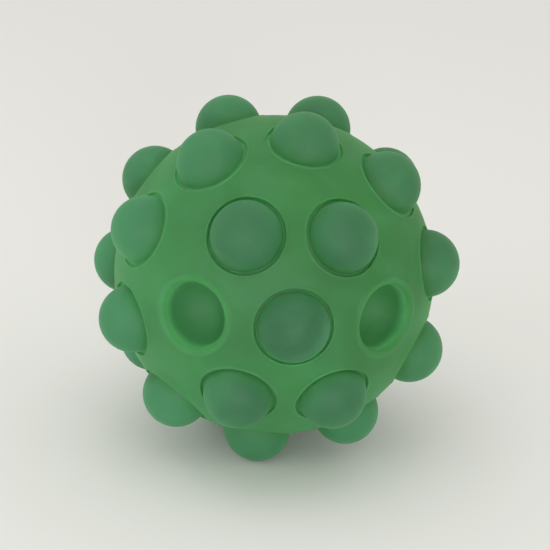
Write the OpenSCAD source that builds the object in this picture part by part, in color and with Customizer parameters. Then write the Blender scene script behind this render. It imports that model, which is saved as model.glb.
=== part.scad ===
// A squeeze ball with popping bubbles, moulded in silicone as one hollow piece.
// The ball has two alike halves. Each half has a bubble at its pole, a row of
// bubbles round the pole and a longer row near the equator, and the back half is
// turned against the front half. A bubble is a thin dome that stands in a narrow
// groove, on a thin floor, so a finger can push it through. Two are pushed in.
// The ball stands on three bubbles of its longer rows, with its poles about level,
// one to the front and one to the back. The origin is on the table, below the centre.

/* [Ball] */
// Diameter of the round wall, without the bubbles
ball_d = 55; // [52:0.5:70]
// Thickness of the round wall
wall = 2.2; // [2:0.1:2.8]

/* [Bubbles] */
// Outer diameter of a bubble
bubble_d = 11.5; // [9:0.1:12]
// Thickness of a bubble
bubble_wall = 0.9; // [0.8:0.1:1.4]

/* [Grooves] */
// Width of the groove round a bubble
groove_w = 0.6; // [0.5:0.05:0.7]
// Depth of the groove below the round surface
groove_depth = 0.55; // [0.5:0.05:0.8]
// Thickness of the floor under the groove, which carries the bubble
floor_t = 0.8; // [0.5:0.1:1]
// Rounding radius of the lip outside the groove
lip_round = 0.2; // [0.15:0.05:0.25]
// Height of the lip above the round surface
lip_rise = 0.08; // [0.04:0.01:0.12]

/* [Pushed bubbles] */
// Inner diameter of a bubble that is pushed in
bowl_d = 10.9; // [10:0.1:11.2]
// Depth of a pushed bubble below the round surface
bowl_depth = 7.3; // [7:0.1:8.5]
// Rounding radius of the rolled edge of a pushed bubble
roll_round = 0.9; // [0.7:0.05:1]
// Height of the rolled edge above the round surface
roll_rise = 0.15; // [0.05:0.01:0.25]
// Which bubbles of the front half's short row are pushed in, counted from 0
pushed = [1, 4]; // [0:1:5]

/* [Rows] */
// Angle from the pole to the short row, and from the short row to the long row
row_step = 35.5; // [34.5:0.1:36]
// Number of bubbles in a short row
short_row = 6; // [5:1:6]
// Number of bubbles in a long row
long_row = 10; // [8:1:10]
// Turn of the back half against the front half
half_turn = 25; // [18:0.5:30]
// Bubble of the front half's long row that the ball stands on, counted from 0
stands_on = 4; // [0:1:7]

/* [Hidden] */
$fn = 96;
// How far a hole's cutter reaches past the wall at each end
hole_past = 0.5;
ball_r = ball_d / 2;
inside_r = ball_r - wall;

// A bubble's section, as distances from its own axis and heights above the ball's centre
bubble_r = bubble_d / 2;
hollow_r = bubble_r - bubble_wall;
hole_r = bubble_r + groove_w;
groove_r = bubble_r + groove_w / 2;
groove_z = sqrt(ball_r * ball_r - hole_r * hole_r) - groove_depth + groove_w / 2;
floor_z = groove_z - groove_w / 2 - floor_t;
bubble_z = groove_z;
lip_r = hole_r + lip_round;
lip_z = height_on_ball(lip_r, lip_rise - lip_round);
seat_r = lip_r + lip_round;

// The same for a bubble that is pushed in. The wall's hole ends under the roll's crest.
bowl_r = bowl_d / 2;
bowl_outer_r = bowl_r + bubble_wall;
bowl_z = ball_r - bowl_depth + bowl_r;
roll_r = bowl_r + roll_round;
roll_z = height_on_ball(roll_r, roll_rise - roll_round);
pushed_hole_r = roll_r - roll_rise;

// The table touches one bubble of the front half and two of the back half, so
// straight down is the direction that leans equally far from all three
long_angle = 2 * row_step;
half_gap = 180 / long_row;
down_turn = stands_on * 360 / long_row + half_turn - half_gap;
down_side = sin(long_angle) * (cos(half_gap) - cos(half_turn - half_gap));
down_angle = atan2(2 * cos(long_angle), down_side);
stand_lean = acos(cos(down_angle) * cos(long_angle)
    + sin(down_angle) * sin(long_angle) * cos(half_turn - half_gap));
centre_h = bubble_z * cos(stand_lean) + bubble_r;

// Height above the ball's centre at a distance from an axis, some way off the round surface
function height_on_ball(from_axis, off) = sqrt(pow(ball_r + off, 2) - pow(from_axis, 2));

function row_count(row) = row == 0 ? 1 : row == 1 ? short_row : long_row;
function row_angle(half, row) = half == 0 ? row * row_step : 180 - row * row_step;
function row_turn(half, row, i) = half * half_turn + i * 360 / row_count(row);
function is_pushed(half, row, i) = half == 0 && row == 1 && (i == pushed[0] || i == pushed[1]);

module half_circle_ring(outer, inner, lower) {
    difference() {
        circle(outer);
        circle(inner);
        translate([-outer, -outer])
            square([outer, 2 * outer]);
        translate([-outer, lower ? 0 : -outer])
            square([2 * outer, outer]);
    }
}

// Section of a bubble: dome, floor with a round-bottomed groove, and lip. The dome
// rises straight out of the groove's inner side.
module bubble_section() {
    translate([0, bubble_z])
        half_circle_ring(bubble_r, hollow_r, false);
    difference() {
        translate([hollow_r, floor_z])
            square([seat_r - hollow_r, groove_z - floor_z]);
        translate([groove_r, groove_z])
            circle(groove_w / 2);
    }
    translate([hole_r, floor_z])
        square([seat_r - hole_r, lip_z - floor_z]);
    translate([lip_r, lip_z])
        circle(lip_round);
}

// Section of a pushed bubble: rolled edge, sleeve and bowl
module pushed_section() {
    translate([roll_r, roll_z])
        circle(roll_round);
    translate([bowl_r, bowl_z])
        square([bubble_wall, roll_z - bowl_z]);
    translate([0, bowl_z])
        half_circle_ring(bowl_outer_r, bowl_r, true);
}

module place(half, row, i) {
    rotate([0, row_angle(half, row), row_turn(half, row, i)])
        children();
}

// Hole for a bubble's section, only as long as the wall needs
module wall_hole(r) {
    hole_z = sqrt(inside_r * inside_r - r * r) - hole_past;
    translate([0, 0, hole_z])
        cylinder(r = r, h = ball_r - hole_z + hole_past);
}

module round_wall() {
    difference() {
        sphere(ball_r);
        sphere(inside_r);
        for (half = [0, 1], row = [0:2], i = [0:row_count(row) - 1])
            place(half, row, i)
                wall_hole(is_pushed(half, row, i) ? pushed_hole_r : lip_r);
    }
}

module bubbles() {
    for (half = [0, 1], row = [0:2], i = [0:row_count(row) - 1])
        place(half, row, i)
            rotate_extrude()
                if (is_pushed(half, row, i))
                    pushed_section();
                else
                    bubble_section();
}

module ball_shell() {
    color("mediumseagreen")
        translate([0, 0, centre_h])
            rotate([180 - down_angle, 0, 0])
                rotate([0, 0, -90 - down_turn]) {
                    round_wall();
                    bubbles();
                }
}

ball_shell();
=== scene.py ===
import math

import bmesh
import bpy
from mathutils import Matrix, Vector


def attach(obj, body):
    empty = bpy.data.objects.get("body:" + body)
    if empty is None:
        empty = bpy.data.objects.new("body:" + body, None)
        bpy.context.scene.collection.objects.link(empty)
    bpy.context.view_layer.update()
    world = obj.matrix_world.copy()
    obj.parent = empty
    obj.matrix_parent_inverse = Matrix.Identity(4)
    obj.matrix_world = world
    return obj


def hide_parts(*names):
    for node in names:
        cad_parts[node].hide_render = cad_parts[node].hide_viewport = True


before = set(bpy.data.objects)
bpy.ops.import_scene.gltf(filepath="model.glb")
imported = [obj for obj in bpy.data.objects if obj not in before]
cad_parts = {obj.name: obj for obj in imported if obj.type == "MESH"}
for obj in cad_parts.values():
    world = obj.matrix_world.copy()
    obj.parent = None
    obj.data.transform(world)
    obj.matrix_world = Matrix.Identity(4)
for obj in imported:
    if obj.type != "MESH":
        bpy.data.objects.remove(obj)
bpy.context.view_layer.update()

# A bubble that stands out. It is a thin dome of the same silicone as the ball, moulded
# in one with it. The dome stands on a thin floor in a narrow, round-bottomed groove, and
# the groove's lip swells from the wall and fades back into it.
ball_radius = 0.0275
inside_radius = 0.0253
dome_radius = 0.00575
dome_inside = 0.00485
groove_radius = 0.0003
groove_depth = 0.00055
floor_thickness = 0.0008
lip_round = 0.0002
lip_rise = 0.00008
lip_fade = 0.0012

# How finely each part of the section is drawn, and each skin is spun
dome_steps = 11
groove_steps = 6
lip_steps = 6
fade_steps = 4
dome_back_steps = 7
round_steps = 48
inside_steps = 24


def arc(centre, radius, start, end, steps):
    """Points of an arc in a section, as distance from the axis and height, in degrees."""
    angles = [math.radians(start + (end - start) * i / steps) for i in range(steps + 1)]
    return [
        (centre[0] + radius * math.cos(a), centre[1] + radius * math.sin(a))
        for a in angles
    ]


def edge_to_wall(ring, rise, edge_round, fade, steps):
    """Section of a rounded edge that starts going up and fades into the ball's surface."""
    reach = ball_radius + rise - edge_round
    edge_lean = math.asin(ring / reach)
    centre = Vector((ring, reach * math.cos(edge_lean)))
    fade_reach = ball_radius + fade
    fade_lean = edge_lean + math.acos(
        (reach ** 2 + fade_reach ** 2 - (fade + edge_round) ** 2) / (2 * reach * fade_reach)
    )
    fade_centre = Vector((fade_reach * math.sin(fade_lean), fade_reach * math.cos(fade_lean)))
    towards = fade_centre - centre
    turn = math.degrees(math.atan2(towards.y, towards.x))
    foot_turn = math.degrees(math.atan2(-fade_centre.y, -fade_centre.x))
    edge = arc(centre, edge_round, 180, turn, steps)
    return edge + arc(fade_centre, fade, turn - 180, foot_turn, fade_steps)[1:]


def spin_section(name, points, steps):
    """Draws a section point by point and spins it round the upright axis."""
    speck = 0.001
    merge_gap = 1e-6
    bpy.ops.object.select_all(action="DESELECT")
    bpy.ops.mesh.primitive_plane_add(size=speck, location=(points[0][0], 0, points[0][1]))
    piece = bpy.context.object
    piece.name = name
    bpy.ops.object.mode_set(mode="EDIT")
    bpy.ops.mesh.merge(type="CENTER")
    for before, after in zip(points, points[1:]):
        step = (after[0] - before[0], 0, after[1] - before[1])
        bpy.ops.mesh.extrude_region_move(TRANSFORM_OT_translate={"value": step})
    bpy.ops.mesh.select_all(action="SELECT")
    bpy.ops.mesh.spin(steps=steps, angle=2 * math.pi, center=(0, 0, 0), axis=(0, 0, 1))
    bpy.ops.mesh.select_all(action="SELECT")
    bpy.ops.mesh.remove_doubles(threshold=merge_gap)
    bpy.ops.mesh.normals_make_consistent(inside=False)
    bpy.ops.object.mode_set(mode="OBJECT")
    bpy.ops.object.transform_apply(location=True, rotation=True, scale=True)
    return piece


hole_radius = dome_radius + 2 * groove_radius
dome_height = math.sqrt(ball_radius ** 2 - hole_radius ** 2) - groove_depth + groove_radius
dome = arc((0, dome_height), dome_radius, 90, 0, dome_steps)
groove_centre = (dome_radius + groove_radius, dome_height)
groove = arc(groove_centre, groove_radius, 180, 360, groove_steps)
lip_ring = hole_radius + lip_round
lip = edge_to_wall(lip_ring, lip_rise, lip_round, lip_fade, lip_steps)
bubble = spin_section("bubble", dome + groove[1:] + lip, round_steps)

dome_back = arc((0, dome_height), dome_inside, 90, 0, dome_back_steps)
floor_height = dome_height - groove_radius - floor_thickness
floor_back = [(dome_inside, floor_height), (lip_ring, floor_height)]
wall_back = [(lip_ring, math.sqrt(inside_radius ** 2 - lip_ring ** 2))]
bubble_inside = spin_section("bubble_inside", dome_back + floor_back + wall_back, inside_steps)

# A bubble that is pushed in. The thin dome has popped through, so it is a smooth bowl
# with a soft rolled edge where the silicone folds over.
bowl_radius = 0.00545
bowl_back_radius = 0.00635
bowl_depth = 0.0073
roll_round = 0.0009
roll_rise = 0.00015
roll_fade = 0.0008
bowl_steps = 12
roll_steps = 10
bowl_back_steps = 9

bowl_height = ball_radius - bowl_depth + bowl_radius
bowl = arc((0, bowl_height), bowl_radius, -90, 0, bowl_steps)
roll = edge_to_wall(bowl_radius + roll_round, roll_rise, roll_round, roll_fade, roll_steps)
pushed_bubble = spin_section("pushed_bubble", bowl + roll, round_steps)

# The bowl's back ends where it meets the ball's inner face
meet_rise = (inside_radius ** 2 - bowl_back_radius ** 2 - bowl_height ** 2) / (2 * bowl_height)
meet_turn = math.degrees(math.asin(meet_rise / bowl_back_radius))
bowl_back = arc((0, bowl_height), bowl_back_radius, -90, meet_turn, bowl_back_steps)
pushed_inside = spin_section("pushed_inside", bowl_back, inside_steps)

# The ball itself, a hollow silicone wall with 34 bubbles moulded into it. Its two halves
# are alike, each with one bubble at its pole, a row of 6 and a row of 10, and the back one
# is turned against the front. Its outer and inner faces make one watertight piece.
row_step = math.radians(35.5)
row_counts = (1, 6, 10)
half_turn = math.radians(25)
stands_on = 4
pushed_in = ((0, 1, 1), (0, 1, 4))

half_gap = math.pi / row_counts[2]
down_turn = stands_on * 2 * half_gap + half_turn - half_gap
long_lean = 2 * row_step
down_side = math.sin(long_lean) * (math.cos(half_gap) - math.cos(half_turn - half_gap))
down_lean = math.atan2(2 * math.cos(long_lean), down_side)
stand_lean = math.acos(
    math.cos(down_lean) * math.cos(long_lean)
    + math.sin(down_lean) * math.sin(long_lean) * math.cos(half_turn - half_gap)
)
centre_height = dome_height * math.cos(stand_lean) + dome_radius
stand = (
    Matrix.Translation((0, 0, centre_height))
    @ Matrix.Rotation(math.pi - down_lean, 4, "X")
    @ Matrix.Rotation(-math.pi / 2 - down_turn, 4, "Z")
)

places = []
for half in (0, 1):
    for row, count in enumerate(row_counts):
        for i in range(count):
            lean = math.pi * half + row * row_step * (1 - 2 * half)
            turn = half_turn * half + 2 * math.pi * i / count
            place = Matrix.Rotation(turn, 4, "Z") @ Matrix.Rotation(lean, 4, "Y")
            places.append((place, (half, row, i) in pushed_in))

# The wall's facets, and the strip between its hole and a skin's foot
wall_divisions = 7
hole_margin = 0.0002
# Only faces that look about the same way as a bubble can lie under it
same_way = 0.9


def open_wall(name, radius, skins):
    """A round wall, opened round each bubble and bridged to the skins copied into it."""
    bpy.ops.object.select_all(action="DESELECT")
    bpy.ops.mesh.primitive_ico_sphere_add(subdivisions=wall_divisions, radius=radius)
    wall = bpy.context.object
    wall.name = name
    feet = [max(v.co.xy.length for v in skin.data.vertices) for skin in skins]
    bpy.ops.object.mode_set(mode="EDIT")
    bpy.ops.mesh.select_all(action="DESELECT")
    mesh = bmesh.from_edit_mesh(wall.data)
    axes = [(place.to_3x3() @ Vector((0, 0, 1)), feet[pushed]) for place, pushed in places]
    for face in mesh.faces:
        for axis, foot in axes:
            if face.normal.dot(axis) < same_way:
                continue
            if min(v.co.cross(axis).length for v in face.verts) < foot + hole_margin:
                face.select_set(True)
                break
    bmesh.update_edit_mesh(wall.data)
    bpy.ops.mesh.delete(type="FACE")
    bpy.ops.object.mode_set(mode="OBJECT")
    for place, pushed in places:
        copy = skins[pushed].copy()
        copy.data = skins[pushed].data.copy()
        bpy.context.collection.objects.link(copy)
        copy.matrix_world = place
        copy.select_set(True)
    bpy.context.view_layer.objects.active = wall
    bpy.ops.object.join()
    bpy.ops.object.mode_set(mode="EDIT")
    for axis, _ in axes:
        bpy.ops.mesh.select_mode(type="EDGE")
        bpy.ops.mesh.select_all(action="DESELECT")
        mesh = bmesh.from_edit_mesh(wall.data)
        for edge in mesh.edges:
            corner = edge.verts[0].co
            if edge.is_boundary and all(corner.dot(axis) >= corner.dot(a) for a, _ in axes):
                edge.select_set(True)
        bmesh.update_edit_mesh(wall.data)
        bpy.ops.mesh.bridge_edge_loops()
    bpy.ops.mesh.select_all(action="SELECT")
    bpy.ops.mesh.normals_make_consistent(inside=False)
    bpy.ops.object.mode_set(mode="OBJECT")
    return wall


ball = open_wall("silicone_ball", ball_radius, (bubble, pushed_bubble))
inside = open_wall("inside", inside_radius, (bubble_inside, pushed_inside))
bpy.ops.object.select_all(action="DESELECT")
bpy.context.view_layer.objects.active = inside
inside.select_set(True)
bpy.ops.object.mode_set(mode="EDIT")
bpy.ops.mesh.select_all(action="SELECT")
bpy.ops.mesh.flip_normals()
bpy.ops.object.mode_set(mode="OBJECT")
ball.select_set(True)
bpy.context.view_layer.objects.active = ball
bpy.ops.object.join()
ball.matrix_world = stand
bpy.ops.object.transform_apply(location=True, rotation=True, scale=True)
bpy.ops.object.shade_smooth()
for pattern in (bubble, bubble_inside, pushed_bubble, pushed_inside):
    bpy.data.objects.remove(pattern)

# Moulded silicone, tinted green and cloudy, from a finely blasted mould. Light soaks in
# and spreads a few millimetres, the finish is dull, and the pigment drifts in faint
# clouds. The thin domes look a little bluer than the wall. Light and shade are painted
# into the colour too: the thin floors lighter, the domes near the poles darker, and the
# wall and side domes lighter at the lower left.


def colour(hex_code):
    """A hex colour as the linear values that a shader takes."""
    values = []
    for at in (1, 3, 5):
        value = int(hex_code[at:at + 2], 16) / 255
        values.append(value / 12.92 if value <= 0.04045 else ((value + 0.055) / 1.055) ** 2.4)
    return (*values, 1)


def add_node(tree, kind, settings=None, links=None):
    """Adds a node, sets its properties or unlinked inputs, and links its other inputs."""
    node = tree.nodes.new(kind)
    for key, value in (settings or {}).items():
        if isinstance(key, str) and hasattr(node, key):
            setattr(node, key, value)
        else:
            node.inputs[key].default_value = value
    for key, source in (links or {}).items():
        tree.links.new(source, node.inputs[key])
    return node


silicone = bpy.data.materials.new("moulded_silicone")
silicone.use_nodes = True
tree = silicone.node_tree
tree.nodes.clear()
position = add_node(tree, "ShaderNodeTexCoord").outputs["Object"]
centred = add_node(
    tree, "ShaderNodeMapping", {"Location": (0, 0, -centre_height)}, {"Vector": position}
)

# Painted light and shade: the wall and side domes are painted lightest at the lower left,
# where the light falls, and darker towards the upper right
light_side_way = (0.75, 0, 0.55)
light_side_reach = 0.03
painted_side_light = add_node(
    tree,
    "ShaderNodeVectorMath",
    {"operation": "DOT_PRODUCT", 1: light_side_way},
    {0: centred.outputs["Vector"]},
)
painted_side_share = add_node(
    tree,
    "ShaderNodeMapRange",
    {"From Min": -light_side_reach, "From Max": light_side_reach},
    {"Value": painted_side_light.outputs["Value"]},
)
wall_colour = add_node(
    tree,
    "ShaderNodeMix",
    {"data_type": "RGBA", 6: colour("#3c844a"), 7: colour("#2d7230")},
    {0: painted_side_share.outputs["Result"]},
)
side_colour = add_node(
    tree,
    "ShaderNodeMix",
    {"data_type": "RGBA", 6: colour("#3f8158"), 7: colour("#377047")},
    {0: painted_side_share.outputs["Result"]},
)

# Painted shade: the domes are painted darker towards the front and back poles, standing in for
# the darker look of thin domes seen face on
pole_starts = 0.020
pole_ends = 0.031
depth = add_node(tree, "ShaderNodeSeparateXYZ", None, {0: position}).outputs["Y"]
from_middle = add_node(tree, "ShaderNodeMath", {"operation": "ABSOLUTE"}, {0: depth})
painted_pole_shade = add_node(
    tree,
    "ShaderNodeMapRange",
    {"From Min": pole_starts, "From Max": pole_ends},
    {"Value": from_middle.outputs["Value"]},
)
dome_colour = add_node(
    tree,
    "ShaderNodeMix",
    {"data_type": "RGBA", 7: colour("#2d6644")},
    {0: painted_pole_shade.outputs["Result"], 6: side_colour.outputs[2]},
)

# How far a point lies from the ball's centre tells a dome from the wall and a hollow
dome_starts = 0.0272
dome_whole = 0.0292
reach = add_node(
    tree, "ShaderNodeVectorMath", {"operation": "LENGTH"}, {0: centred.outputs["Vector"]}
)
on_dome = add_node(
    tree,
    "ShaderNodeMapRange",
    {"From Min": dome_starts, "From Max": dome_whole},
    {"Value": reach.outputs["Value"]},
)
outer_colour = add_node(
    tree,
    "ShaderNodeMix",
    {"data_type": "RGBA"},
    {0: on_dome.outputs["Result"], 6: wall_colour.outputs[2], 7: dome_colour.outputs[2]},
)

# Painted light: a groove and the upper part of a bowl let light through and are painted
# lighter, which also hides the shade in them; deep in a bowl this fades, so the bowl is
# painted darker towards its bottom
hollow_starts = 0.0272
hollow_whole = 0.0264
bowl_low = 0.0250
bowl_high = 0.0266
below_wall = add_node(
    tree,
    "ShaderNodeMapRange",
    {"From Min": hollow_starts, "From Max": hollow_whole},
    {"Value": reach.outputs["Value"]},
)
above_bowl = add_node(
    tree,
    "ShaderNodeMapRange",
    {"From Min": bowl_low, "From Max": bowl_high, "To Min": 0.2},
    {"Value": reach.outputs["Value"]},
)
in_hollow = add_node(
    tree,
    "ShaderNodeMath",
    {"operation": "MULTIPLY"},
    {0: below_wall.outputs["Result"], 1: above_bowl.outputs["Result"]},
)
painted_light_in_hollows = add_node(
    tree,
    "ShaderNodeMix",
    {"data_type": "RGBA", 7: colour("#5dae6f")},
    {0: in_hollow.outputs["Value"], 6: outer_colour.outputs[2]},
)

# Painted light: the grooves of the two long rows are painted lighter still, so that their
# shade melts into the wall more than that of the grooves near the poles
side_starts = 0.018
side_whole = 0.012
groove_starts = 0.0273
groove_whole = 0.0270
to_side = add_node(
    tree,
    "ShaderNodeMapRange",
    {"From Min": side_starts, "From Max": side_whole},
    {"Value": from_middle.outputs["Value"], "To Max": above_bowl.outputs["Result"]},
)
side_groove = add_node(
    tree,
    "ShaderNodeMapRange",
    {"From Min": groove_starts, "From Max": groove_whole},
    {"Value": reach.outputs["Value"], "To Max": to_side.outputs["Result"]},
)
painted_light_in_side_grooves = add_node(
    tree,
    "ShaderNodeMix",
    {"data_type": "RGBA", 7: colour("#60b074")},
    {0: side_groove.outputs["Result"], 6: painted_light_in_hollows.outputs[2]},
)

# Pigment that isn't stirred in evenly: bluer streaks, and lighter and darker clouds
streak_size = 0.009
cloud_size = 0.014
streaks = add_node(
    tree,
    "ShaderNodeTexNoise",
    {"Scale": 1 / streak_size, "Detail": 2, "Distortion": 0.6},
    {"Vector": position},
)
streak_share = add_node(
    tree,
    "ShaderNodeMapRange",
    {"From Min": 0.48, "From Max": 0.72, "To Max": 0.35},
    {"Value": streaks.outputs["Fac"]},
)
streaked_colour = add_node(
    tree,
    "ShaderNodeMix",
    {"data_type": "RGBA", 7: colour("#438759")},
    {0: streak_share.outputs["Result"], 6: painted_light_in_side_grooves.outputs[2]},
)
clouds = add_node(
    tree,
    "ShaderNodeTexNoise",
    {"Scale": 1 / cloud_size, "Detail": 3, "Roughness": 0.5},
    {"Vector": position},
)
cloud_shade = add_node(
    tree,
    "ShaderNodeMapRange",
    {"From Min": 0.3, "From Max": 0.7, "To Min": 0.88, "To Max": 1.12},
    {"Value": clouds.outputs["Fac"]},
)
body_colour = add_node(
    tree,
    "ShaderNodeMix",
    {"data_type": "RGBA", "blend_type": "MULTIPLY", 0: 1},
    {6: streaked_colour.outputs[2], 7: cloud_shade.outputs["Result"]},
)

# The blasted mould's grain is finer than this on a real ball. It is drawn coarser to show.
grain_size = 0.0004
grain_height = 0.00002
grain = add_node(
    tree,
    "ShaderNodeTexNoise",
    {"Scale": 1 / grain_size, "Detail": 2},
    {"Vector": position},
)
bump = add_node(
    tree,
    "ShaderNodeBump",
    {"Strength": 0.25, "Distance": grain_height},
    {"Height": grain.outputs["Fac"]},
)
finish = add_node(
    tree,
    "ShaderNodeBsdfPrincipled",
    {
        "Roughness": 0.58,
        "IOR": 1.41,
        "Subsurface Weight": 1,
        "Subsurface Radius": (0.6, 1, 0.6),
        "Subsurface Scale": 0.004,
        "Sheen Weight": 0.15,
        "Sheen Roughness": 0.5,
        "Sheen Tint": colour("#6fc078"),
    },
    {"Base Color": body_colour.outputs[2], "Normal": bump.outputs["Normal"]},
)
add_node(tree, "ShaderNodeOutputMaterial", None, {"Surface": finish.outputs["BSDF"]})
ball.data.materials.clear()
ball.data.materials.append(silicone)

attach(ball, "root")
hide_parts("ball_shell")

# The floor is a plain sheet with pale matt paint, which runs far back. It isn't part of
# the ball.
floor_size = 6
bpy.ops.object.select_all(action="DESELECT")
bpy.ops.mesh.primitive_plane_add(size=floor_size, location=(0, 0, 0))
floor = bpy.context.object
floor.name = "floor"
paint = bpy.data.materials.new("pale_matt_paint")
paint.use_nodes = True
coat = paint.node_tree.nodes["Principled BSDF"]
coat.inputs["Base Color"].default_value = colour("#e6e6e4")
coat.inputs["Roughness"].default_value = 0.9
floor.data.materials.append(paint)

# Soft studio light. One window stands to the left and front, one hangs above, and a small
# one far in front fills the low bubbles. The pale room lights the rest, and is dimmed to
# the floor's tone where the camera or a reflection shows it.
room_strength = 1.05
seen_strength = 0.86
room = bpy.data.worlds.new("pale_room")
room.use_nodes = True
backdrop = room.node_tree.nodes["Background"]
backdrop.inputs["Color"].default_value = colour("#e8e7e2")
sight = add_node(room.node_tree, "ShaderNodeLightPath")
mirrored = add_node(
    room.node_tree,
    "ShaderNodeMath",
    {"operation": "MAXIMUM"},
    {0: sight.outputs["Is Camera Ray"], 1: sight.outputs["Is Glossy Ray"]},
)
seen = add_node(
    room.node_tree,
    "ShaderNodeMath",
    {"operation": "MAXIMUM"},
    {0: mirrored.outputs["Value"], 1: sight.outputs["Is Transmission Ray"]},
)
room_light = add_node(
    room.node_tree,
    "ShaderNodeMapRange",
    {"To Min": room_strength, "To Max": seen_strength},
    {"Value": seen.outputs["Value"]},
)
room.node_tree.links.new(room_light.outputs["Result"], backdrop.inputs["Strength"])
bpy.context.scene.world = room


def add_window(name, spot, size, power, spread=180):
    """A square soft light that faces the ball, with its spread in degrees."""
    bpy.ops.object.light_add(type="AREA", location=spot)
    window = bpy.context.object
    window.name = name
    window.data.size = size
    window.data.energy = power
    window.data.spread = math.radians(spread)
    aim = Vector(spot) - Vector((0, 0, centre_height))
    window.rotation_euler = aim.to_track_quat("Z", "Y").to_euler()


add_window("left_window", spot=(-0.55, -0.45, 0.3), size=0.5, power=0.7)
add_window("top_window", spot=(-0.1, -0.1, 0.7), size=0.5, power=0.6)
add_window("low_window", spot=(0, -0.8, 0.15), size=0.2, power=0.12, spread=40)

# The camera looks at the ball from the front, a little from the left and above, and is
# rolled slightly, as in the photo. The nudges set the ball as far off the middle as it
# is there.
camera_turn = math.radians(-7.61)
camera_rise = math.radians(21.42)
camera_roll = math.radians(2.68)
camera_distance = 0.295
camera_lens = 111.65
nudge_right = 0.00016
nudge_up = -0.00006
bpy.ops.object.camera_add()
camera = bpy.context.object
camera.name = "camera"
camera.data.lens = camera_lens
camera.data.sensor_width = 36
camera.data.clip_start = 0.01
away = Vector((
    math.sin(camera_turn) * math.cos(camera_rise),
    -math.cos(camera_turn) * math.cos(camera_rise),
    math.sin(camera_rise),
))
level = Vector((math.cos(camera_turn), math.sin(camera_turn), 0))
up = away.cross(level)
right = math.cos(camera_roll) * level + math.sin(camera_roll) * up
up = away.cross(right)
camera_spot = Vector((0, 0, centre_height)) + camera_distance * away
camera_spot += nudge_right * right + nudge_up * up
camera.matrix_world = Matrix((
    (right.x, up.x, away.x, camera_spot.x),
    (right.y, up.y, away.y, camera_spot.y),
    (right.z, up.z, away.z, camera_spot.z),
    (0, 0, 0, 1),
))
bpy.context.scene.camera = camera
bpy.context.scene.view_settings.view_transform = "Standard"
